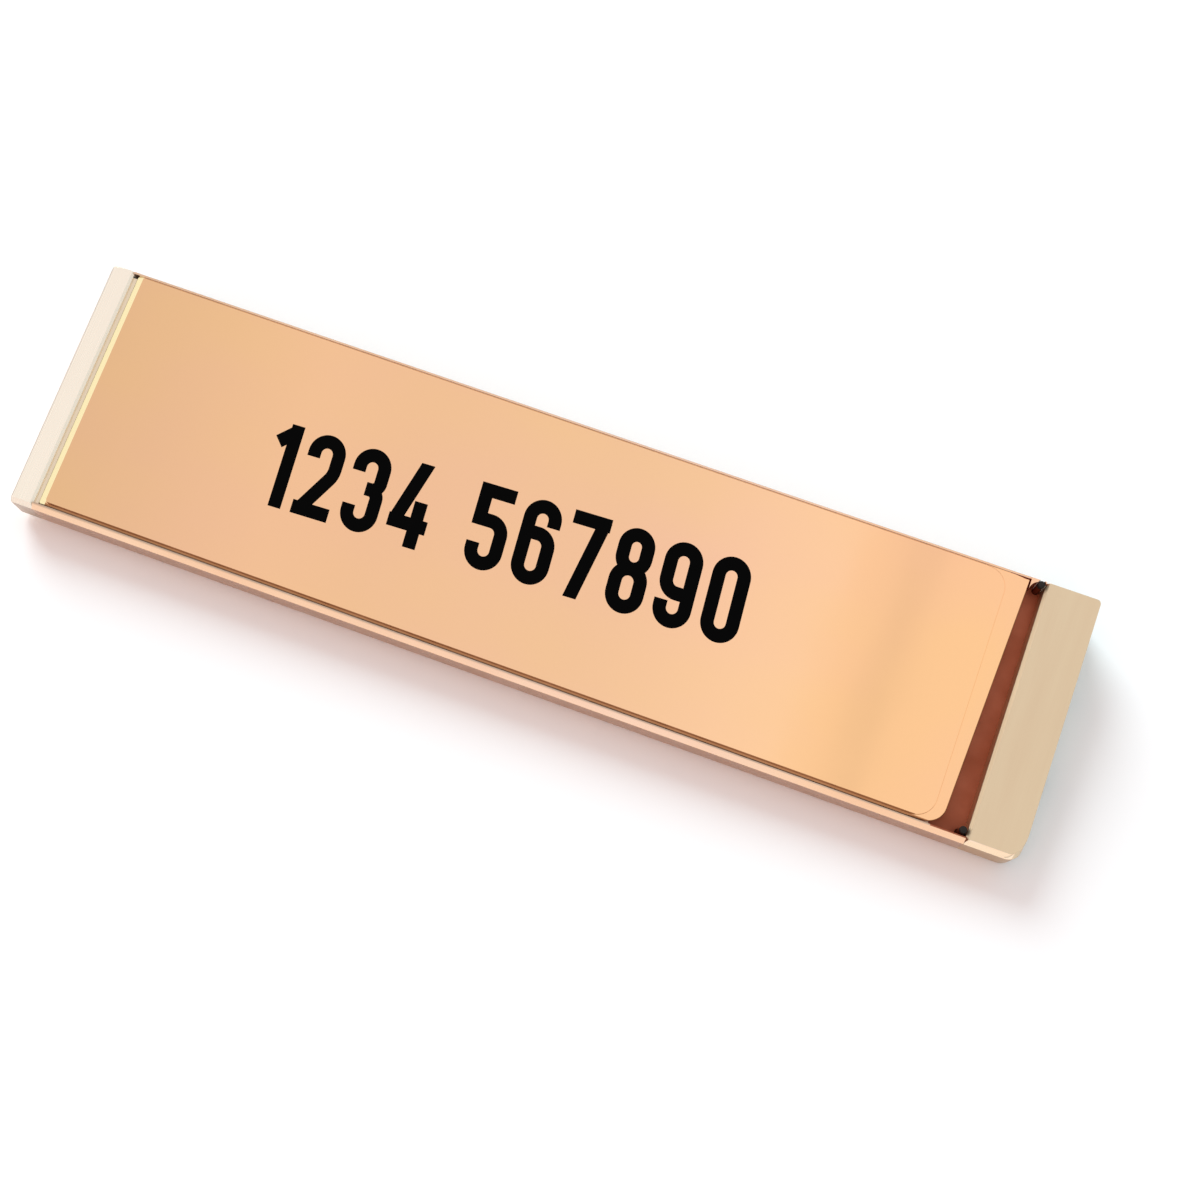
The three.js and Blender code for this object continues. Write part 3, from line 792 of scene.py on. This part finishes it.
def countersink(length, over):
    """A drill for a countersunk screw, with its head at zero and pointing along +Z."""
    radius = SCREW_RADIUS + SCREW_ROOM
    head_radius = HEAD_RADIUS + SCREW_ROOM
    head_height = HEAD_HEIGHT + SCREW_ROOM
    return turned([
        (0, -over),
        (head_radius, -over),
        (head_radius, 0),
        (radius, head_height),
        (radius, length),
        (0, length),
    ])


def seat_of(screw):
    """Where a screw node's head starts, turned so that +Z runs along its shank."""
    low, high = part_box(screw)
    middle = (low + high) / 2
    if screw.startswith("base"):
        return Matrix.Translation((middle.x, middle.y, low.z))
    if screw.startswith("left"):
        return Matrix.Translation((low.x, middle.y, middle.z)) @ TO_RIGHT
    return Matrix.Translation((high.x, middle.y, middle.z)) @ TO_LEFT


def drilled(bm, screws, length, over):
    """The shape with a countersunk hole for each screw."""
    drills = [placed(countersink(length, over), seat_of(screw)) for screw in screws]
    return combined(bm, drills)


# %% The left cap
CAP_FRONT_CORNER = 0.25 * MM
CAP_CORNER = 0.8 * MM
CAP_CHAMFER = 0.45 * MM
CAP_EDGE = 0.45 * MM
LEDGE_REACH = 0.6 * MM
LEDGE_END = 0.85 * MM
LEDGE_ENDS = (0.42 * MM, 49.7 * MM)
LEDGE_DEPTHS = (-1.95 * MM, -0.75 * MM)

cap_low, cap_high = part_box("left_end_cap")
inner_x = cap_high.x - LEDGE_REACH
cap_bm = wedge_between(cap_low.x, inner_x)
bevel(cap_bm, front_corner(cap_bm, cap_low.x), CAP_FRONT_CORNER, segments=3)
bevel(cap_bm, upright_edge(cap_bm, cap_low.x, cap_high.y), CAP_CORNER, segments=6)
bevel(cap_bm, top_edge(cap_bm, inner_x), CAP_CHAMFER, segments=1)
outer_top = edges_at(cap_bm, lambda co: on_face(co) and co.x < cap_low.x + CAP_CORNER + 0.01 * MM)
bevel(cap_bm, outer_top, CAP_EDGE, segments=5)
ledge_left = Vector((inner_x - LEDGE_REACH, LEDGE_ENDS[0]))
ledge_right = Vector((inner_x + LEDGE_END, LEDGE_ENDS[1]))
ledge_bm = plate(rectangle(ledge_left, ledge_right), *LEDGE_DEPTHS)
cap_bm = combined(cap_bm, [placed(ledge_bm, FACE)], "UNION")
cap_bm = drilled(cap_bm, ("left_cap_screw_front", "left_cap_screw_rear"), THROUGH, OVERSHOOT)
soften(cap_bm, EDGE_BREAK)
rim_x = cap_low.x + CAP_EDGE * 0.7
ledge_x = inner_x + 0.02 * MM
# The front wall, the ledge beside the insert and the rounded outer edge take the painted shade.
paint(cap_bm, lambda face, place: face.normal.z > 0.3 and place.x > ledge_x)
for face in cap_bm.faces:
    if face.normal.z > 0.3 and face.calc_center_median().x < rim_x:
        face.material_index = 3
cap_finishes = (pale_gold, cap_wall, cap_line, cap_rim)
finished("left_cap", cap_bm, "holder", cap_finishes, ["left_end_cap"])

# %% The right block
BLOCK_FRONT_CORNER = 3 * MM
BLOCK_CORNER = 0.8 * MM
BLOCK_CHAMFER = 0.7 * MM

block_bm = wedge_between(block_low.x, block_high.x)
bevel(block_bm, front_corner(block_bm, block_high.x), BLOCK_FRONT_CORNER, segments=12)
bevel(block_bm, upright_edge(block_bm, block_high.x, block_high.y), BLOCK_CORNER, segments=6)
bevel(block_bm, top_edge(block_bm, block_low.x), BLOCK_CHAMFER, segments=1)
block_bm = drilled(block_bm, ("right_block_screw_front", "right_block_screw_rear"), THROUGH, THROUGH)
soften(block_bm, EDGE_BREAK)
# The front wall takes the painted shade and the slanted front band the painted highlight.
paint(block_bm, lambda face, place: 0.3 < face.normal.z < 0.98 and place.y < 0.1 * MM)
block_finishes = (satin, block_wall, block_band_highlight)
finished("right_block", block_bm, "holder", block_finishes, ["right_end_block"])

# %% [markdown]
# ## The insert
#
# The insert is a carrier plate with a thin facing sheet bonded on it. The carrier's left end has a broad
# bevel, and its right end runs a little askew and stays bare, as an edge to lift. The facing's own edge
# shows there as a faint line with rounded corners. A steel sheet under the carrier gives the magnets a
# hold.


# %% The carrier
RIGHT_FRONT = 86.65 * MM
RIGHT_REAR = 88.55 * MM
CARRIER_RADII = (0.4 * MM, 3.5 * MM, 0.3 * MM, 0.5 * MM)
LEFT_BEVEL_WIDTH = 1.4 * MM
LEFT_BEVEL_DEPTH = 0.45 * MM
CARRIER_EDGE = 0.1 * MM
CARRIER_END = 0.6 * MM
FRONT_REACH = 0.2 * MM
REAR_REACH = 0.36 * MM

carrier_low, carrier_high = face_box("name_insert")
carrier_front = carrier_low.y - FRONT_REACH
groove_end = face_box("name_facing")[0].y + 0.02 * MM
carrier_rear = carrier_high.y + REAR_REACH
carrier_outline = [
    (carrier_low.x, carrier_front),
    (RIGHT_FRONT, carrier_front),
    (RIGHT_REAR, carrier_rear),
    (carrier_low.x, carrier_rear),
]
carrier_bm = plate(carrier_outline, carrier_low.z, carrier_high.z, CARRIER_RADII)
carrier_end = RIGHT_FRONT - CARRIER_RADII[1] - 0.01 * MM
end_rim = edges_at(carrier_bm, lambda co: close_to(co.z, carrier_high.z) and co.x > carrier_end)
bevel(carrier_bm, end_rim, CARRIER_END, segments=5)
top_rim = edges_at(carrier_bm, lambda co: close_to(co.z, carrier_high.z))
bevel(carrier_bm, [edge for edge in top_rim if runs_along(edge)], CARRIER_EDGE, segments=1)
bevel_normal = Vector((-LEFT_BEVEL_DEPTH, 0, LEFT_BEVEL_WIDTH)).normalized()
bevel_end = carrier_low.x + LEFT_BEVEL_WIDTH
in_cut = slice_at(carrier_bm, (bevel_end, 0, carrier_high.z), bevel_normal, clear_outer=True)
cut_edges = [item for item in in_cut if isinstance(item, bmesh.types.BMEdge)]
for face in bmesh.ops.contextual_create(carrier_bm, geom=cut_edges)["faces"]:
    face.smooth = False
slice_at(carrier_bm, (0, groove_end, 0), (0, 1, 0))
bmesh.ops.recalc_face_normals(carrier_bm, faces=carrier_bm.faces[:])
# The strip in front of the facing and the rounded right end take the painted shade, the left bevel the
# painted highlight.
for face in carrier_bm.faces:
    middle = face.calc_center_median()
    in_groove = middle.y < groove_end and middle.x > bevel_end and face.normal.z > 0.3
    at_end = middle.x > carrier_end and 0.02 < face.normal.z < 0.97
    on_left_bevel = middle.x < bevel_end and face.normal.x < -0.2 and face.normal.z > 0.2
    face.material_index = 2 if on_left_bevel else int(in_groove or at_end)
carrier_finishes = (mirror, insert_edge_shade, left_bevel_highlight)
finished("carrier", carrier_bm, "insert", carrier_finishes, ["name_insert"], FACE)

# %% The facing sheet
FACING_RADII = (1 * MM, 4 * MM, 4 * MM, 0.3 * MM)
FACING_EDGE = 0.06 * MM
FACING_END = 0.2 * MM
FRONT_BEVEL = 0.3 * MM
REAR_BEVEL = 0.06 * MM

facing_low, facing_high = face_box("name_facing")
facing_rear = facing_high.y + REAR_REACH
facing_outline = rectangle(facing_low, Vector((facing_high.x, facing_rear)))
facing_bm = plate(facing_outline, carrier_high.z, facing_high.z, FACING_RADII)
right_end = facing_high.x - FACING_RADII[1] - 0.01 * MM
right_rim = edges_at(facing_bm, lambda co: close_to(co.z, facing_high.z) and co.x > right_end)
bevel(facing_bm, right_rim, FACING_END, segments=3)
cutter_x = facing_low.x - MM
bevel_cutters = []
for edge_y, inward, size in ((facing_low.y, 1, FRONT_BEVEL), (facing_rear, -1, REAR_BEVEL)):
    bevel_cutters.append(extruded([
        (cutter_x, edge_y - inward * MM, facing_high.z - size - MM),
        (cutter_x, edge_y - inward * MM, facing_high.z + MM),
        (cutter_x, edge_y + inward * (size + MM), facing_high.z + MM),
    ], Vector((facing_high.x - facing_low.x + 2 * MM, 0, 0))))
facing_bm = combined(facing_bm, bevel_cutters)
soften(facing_bm, FACING_EDGE, segments=3)
# The front bevel takes the painted shade of the groove in front of it.
for face in facing_bm.faces:
    face.material_index = int(face.normal.y < -0.5 and 0.3 < face.normal.z < 0.97)
finished("facing", facing_bm, "insert", (mirror, insert_edge_shade), ["name_facing"], FACE)

# %% The steel backing
BACKING_CORNER = 1.5 * MM
BACKING_EDGE = 0.08 * MM

backing_low, backing_high = face_box("insert_backing")
backing_bm = plate(rectangle(backing_low, backing_high), backing_low.z, carrier_low.z, [BACKING_CORNER] * 4,
                   BACKING_EDGE)
finished("backing", backing_bm, "insert", [zinc], ["insert_backing"], FACE)

# %% [markdown]
# ## The printed digits
#
# The face of such an insert is screen printed in black. This one carries plain digits in a bold
# condensed type, in a group of four and one of six. They are drawn as with a flat pen: the pen's square
# end is a small face, straight strokes extrude it, and turns spin it. A digit is measured in its own
# height.

# %% The digits as pen strokes
PEN = 0.16
DIGIT_WIDTH = 0.46
LEFT = PEN / 2
RIGHT = DIGIT_WIDTH - PEN / 2
TOP = 1 - PEN / 2
BOTTOM = PEN / 2
BOWL = (RIGHT - LEFT) / 2
LAP = 0.01

# A stroke is (x, y, heading in degrees, moves). A number moves straight on, and (radius, degrees) turns
# left, or right where the degrees are negative.
STROKES = {
    "0": [
        (LEFT, 0.5, 90, [0.27, (BOWL, -180), 0.27 + LAP]),
        (RIGHT, 0.5, 270, [0.27, (BOWL, -180), 0.27 + LAP]),
    ],
    "1": [
        (0.26, 0, 90, [1]),
        (0.27, 0.93, 222, [0.26]),
    ],
    "2": [
        (LEFT, 0.7, 90, [0.07, (BOWL, -180), 0.15, (0.25, -31), 0.5]),
        (0, BOTTOM, 0, [DIGIT_WIDTH]),
    ],
    "3": [
        (LEFT, 0.7, 90, [0.07, (BOWL, -180), 0.15, (0.1, -90), 0.05]),
        (LEFT, 0.3, 270, [0.07, (BOWL, 180), 0.19, (0.1, 90), 0.06]),
    ],
    "4": [
        (0.3, 1.02, 253.4, [0.78]),
        (0, 0.27, 0, [0.48]),
        (0.34, 0, 90, [0.55]),
    ],
    "5": [
        (0.02, TOP, 0, [0.42]),
        (LEFT, 1, 270, [0.5]),
        (LEFT, 0.58, 0, [0.15, (BOWL, -90), 0.2, (BOWL, -180), 0.07]),
    ],
    "6": [
        (RIGHT, 0.7, 90, [0.07, (BOWL, 180), 0.54, (BOWL, 180)]),
        (RIGHT, 0.23 - LAP, 90, [0.22 + LAP, (BOWL, 90), BOWL]),
    ],
    "7": [
        (0, TOP, 0, [DIGIT_WIDTH]),
        (0.385, 0.96, 258.7, [1.03]),
    ],
    "8": [
        (LEFT + 0.01, 0.72, 90, [0.06, (BOWL - 0.01, -180), 0.06 + LAP]),
        (RIGHT - 0.01, 0.72, 270, [0.06, (BOWL - 0.01, -180), 0.06 + LAP]),
        (LEFT, 0.3, 90, [0.07, (BOWL, -180), 0.07 + LAP]),
        (RIGHT, 0.3, 270, [0.07, (BOWL, -180), 0.07 + LAP]),
    ],
}
STROKES["9"] = [(DIGIT_WIDTH - x, 1 - y, heading + 180, moves) for x, y, heading, moves in STROKES["6"]]
WIDTHS = {"1": 0.34, "4": 0.48}
TURN_STEP = 9


def pen_stroke(x, y, heading, moves):
    """Draws out the pen's square end along straights and turns, as a closed solid one unit thick."""
    bm = bmesh.new()
    at = Vector((x, y, 0))
    ahead = Vector((math.cos(math.radians(heading)), math.sin(math.radians(heading)), 0))
    aside = Vector((-ahead.y, ahead.x, 0))
    up = Vector((0, 0, 0.5))
    half = aside * PEN / 2
    corners = (at - half - up, at + half - up, at + half + up, at - half + up)
    tip = bm.faces.new([bm.verts.new(corner) for corner in corners])
    for move in moves:
        whole_tip = [tip, *tip.edges, *tip.verts]
        if isinstance(move, tuple):
            radius, degrees = move
            center = at + aside * math.copysign(radius, degrees)
            turn = Matrix.Rotation(math.radians(degrees), 3, "Z")
            drawn = bmesh.ops.spin(bm, geom=whole_tip, cent=center, axis=(0, 0, 1), dvec=(0, 0, 0),
                                   angle=math.radians(degrees), steps=math.ceil(abs(degrees) / TURN_STEP),
                                   use_merge=False, use_duplicate=False)["geom_last"]
            at = center + turn @ (at - center)
            ahead = turn @ ahead
            aside = turn @ aside
        else:
            drawn = bmesh.ops.extrude_face_region(bm, geom=whole_tip)["geom"]
            moved = [item for item in drawn if isinstance(item, bmesh.types.BMVert)]
            bmesh.ops.translate(bm, verts=moved, vec=ahead * move)
            at = at + ahead * move
        tip = [item for item in drawn if isinstance(item, bmesh.types.BMFace)][0]
    bmesh.ops.recalc_face_normals(bm, faces=bm.faces[:])
    return bm


def digit(character):
    """The strokes of one digit joined, and trimmed to the digit's own height and left edge."""
    strokes = [pen_stroke(*stroke) for stroke in STROKES[character]]
    joined = combined(strokes[0], strokes[1:], "UNION")
    room = bmesh.new()
    bmesh.ops.create_cube(room, size=1)
    bmesh.ops.scale(room, vec=(1, 1, 2), verts=room.verts[:])
    bmesh.ops.translate(room, vec=(0.5, 0.5, 0), verts=room.verts[:])
    return combined(joined, [room], "INTERSECT")


# %% Print the digits
DIGITS = "1234 567890"
DIGIT_GAP = 0.12
SPACE = 0.38
PRINT_LENGTH = 97 * MM
PRINT_HEIGHT = 16.9 * MM
PRINT_TURN = math.radians(2.4)
PRINT_LEAN = math.radians(2.6)
PRINT_MIDDLE = Vector((-8.95 * MM, 25.45 * MM, facing_high.z))
INK_PROUD = 0.02 * MM
INK_SUNK = 0.01 * MM

digits_bm = bmesh.new()
pen_x = 0
for character in DIGITS:
    if character == " ":
        pen_x += SPACE
        continue
    one = placed(digit(character), Matrix.Translation((pen_x, 0, 0)))
    sheet = bpy.data.meshes.new("digit")
    one.to_mesh(sheet)
    one.free()
    digits_bm.from_mesh(sheet)
    bpy.data.meshes.remove(sheet)
    pen_x += WIDTHS.get(character, DIGIT_WIDTH) + DIGIT_GAP
print_width = pen_x - DIGIT_GAP
print(f"Digits are {print_width:.2f} of their height long")
placed(digits_bm, Matrix.Translation((-print_width / 2, -0.5, 0)))
placed(digits_bm, Matrix.Diagonal((PRINT_LENGTH / print_width, PRINT_HEIGHT, INK_PROUD + INK_SUNK, 1)))
placed(digits_bm, Matrix.Shear("XZ", 4, (-math.tan(PRINT_LEAN), 0)))
placed(digits_bm, Matrix.Rotation(PRINT_TURN, 4, "Z"))
placed(digits_bm, Matrix.Translation(PRINT_MIDDLE + Vector((0, 0, (INK_PROUD - INK_SUNK) / 2))))
finished("printed_digits", digits_bm, "insert", [enamel], (), FACE)

# %% [markdown]
# ## In the tray and in the finger gap
#
# Two felt strips carry the insert, and four nickel-plated magnets in the bed hold it down. They show
# only when the insert is out. The finger gap's outer corners are closed by two black rubber plugs with
# rounded heads.

# %% Felt strips
FELT_CORNER = 1 * MM
FELT_EDGE = 0.25 * MM
GLUE = 0.1 * MM

for side in ("front", "rear"):
    felt_low, felt_high = face_box("felt_strip_" + side)
    felt_bm = plate(rectangle(felt_low, felt_high), felt_low.z - GLUE, felt_high.z, [FELT_CORNER] * 4)
    bevel(felt_bm, edges_at(felt_bm, lambda co: close_to(co.z, felt_high.z)), FELT_EDGE, segments=3)
    finished("felt_" + side, felt_bm, "holder", [felt], ["felt_strip_" + side], FACE)

# %% Magnets
MAGNET_EDGE = 0.25 * MM
for number in range(1, 5):
    magnet_low, magnet_high = face_box(f"magnet_{number}")
    radius = (magnet_high.x - magnet_low.x) / 2
    height = magnet_high.z - magnet_low.z
    magnet_bm = turned([
        (0, 0),
        (radius - MAGNET_EDGE, 0),
        (radius - MAGNET_EDGE * 0.3, MAGNET_EDGE * 0.3),
        (radius, MAGNET_EDGE),
        (radius, height - MAGNET_EDGE),
        (radius - MAGNET_EDGE * 0.3, height - MAGNET_EDGE * 0.3),
        (radius - MAGNET_EDGE, height),
        (0, height),
    ])
    middle = (magnet_low + magnet_high) / 2
    place = FACE @ Matrix.Translation((middle.x, middle.y, magnet_low.z))
    finished(f"disc_magnet_{number}", magnet_bm, "holder", [nickel], [f"magnet_{number}"], place)

# %% Gap plugs
PLUG_SHANK = 0.64 * MM
PLUG_HEAD = 0.7 * MM
PLUG_HEAD_HEIGHT = 1.1 * MM

for side in ("front", "rear"):
    plug_low, plug_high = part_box("gap_plug_" + side)
    height = plug_high.z - plug_low.z
    head_from = height - PLUG_HEAD_HEIGHT
    plug_bm = turned([
        (0, 0),
        (PLUG_SHANK, 0),
        (PLUG_SHANK, head_from - PLUG_HEAD * 0.3),
        (PLUG_HEAD * 0.9, head_from),
        (PLUG_HEAD, head_from + PLUG_HEAD * 0.2),
        (PLUG_HEAD, height - PLUG_HEAD * 0.55),
        (PLUG_HEAD * 0.92, height - PLUG_HEAD * 0.28),
        (PLUG_HEAD * 0.7, height - PLUG_HEAD * 0.1),
        (PLUG_HEAD * 0.4, height - PLUG_HEAD * 0.02),
        (0, height),
    ], steps=32)
    middle = (plug_low + plug_high) / 2
    place = Matrix.Translation((middle.x, middle.y, plug_low.z))
    # The shank below the head takes the painted shade of the gap.
    for face in plug_bm.faces:
        face.material_index = int(face.calc_center_median().z < head_from - PLUG_HEAD * 0.2)
    plug_finishes = (rubber, shank_painted_shade)
    finished("plug_" + side, plug_bm, "holder", plug_finishes, ["gap_plug_" + side], place)

# %% [markdown]
# ## Underneath and at the ends
#
# A sheet steel plate closes the hollow casting, with four countersunk screws and four rubber feet. Two
# screws hold each end piece. All of them have hexagon sockets.


# %% Helper for screws
SOCKET_RADIUS = 0.85 * MM
SOCKET_DEPTH = 0.8 * MM
HEAD_RIM = 0.12 * MM


def countersunk_screw(length):
    """A countersunk screw with a hexagon socket, its head at zero and its shank along +Z."""
    screw = turned([
        (0, 0),
        (HEAD_RADIUS - HEAD_RIM * 0.5, 0),
        (HEAD_RADIUS, HEAD_RIM * 0.5),
        (HEAD_RADIUS - HEAD_RIM * 0.2, HEAD_RIM * 1.5),
        (SCREW_RADIUS, HEAD_HEIGHT),
        (SCREW_RADIUS, length - 0.4 * MM),
        (SCREW_RADIUS - 0.4 * MM, length),
        (0, length),
    ])
    socket = bmesh.new()
    bmesh.ops.create_cone(socket, cap_ends=True, segments=6, radius1=SOCKET_RADIUS, radius2=SOCKET_RADIUS,
                          depth=SOCKET_DEPTH * 2)
    return combined(screw, [socket])


# %% Place the screws
screw_nodes = [node for node in frame["nodes"] if "_screw_" in node]
for node in sorted(screw_nodes):
    screw_low, screw_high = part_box(node)
    if node.startswith("base"):
        length = screw_high.z - screw_low.z
        slot, steel = "black_steel", oxide
    else:
        length = screw_high.x - screw_low.x
        slot, steel = "nickel", nickel
    name = node.replace("_screw", "_socket_screw")
    finished(name, countersunk_screw(length), "holder", [steel], [node], seat_of(node))

# %% Base plate
SHEET_CORNER = 0.6 * MM
base_low, base_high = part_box("base_plate")
base_bm = plate(rectangle(base_low, base_high), base_low.z, base_high.z, [SHEET_CORNER] * 4, steps=4)
base_bm = drilled(base_bm, [node for node in screw_nodes if node.startswith("base")], THROUGH / 2, OVERSHOOT)
soften(base_bm, EDGE_BREAK)
finished("bottom_sheet", base_bm, "holder", [zinc], ["base_plate"])

# %% Feet
FOOT_EDGE = 0.25 * MM
for node in sorted(frame["nodes"]):
    if node.startswith("foot"):
        foot_low, foot_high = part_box(node)
        radius = (foot_high.x - foot_low.x) / 2
        height = foot_high.z - foot_low.z
        foot_bm = turned([
            (0, 0),
            (radius - FOOT_EDGE * 2, 0),
            (radius - FOOT_EDGE, FOOT_EDGE * 0.3),
            (radius - FOOT_EDGE * 0.3, FOOT_EDGE),
            (radius, FOOT_EDGE * 2),
            (radius, height),
            (0, height),
        ])
        middle = (foot_low + foot_high) / 2
        place = Matrix.Translation((middle.x, middle.y, foot_low.z))
        finished("rubber_" + node, foot_bm, "holder", [rubber], [node], place)

# %% [markdown]
# ## Finishing
#
# Colours are shown through the Standard view transform.

# %% Finish
bpy.context.scene.view_settings.view_transform = "Standard"
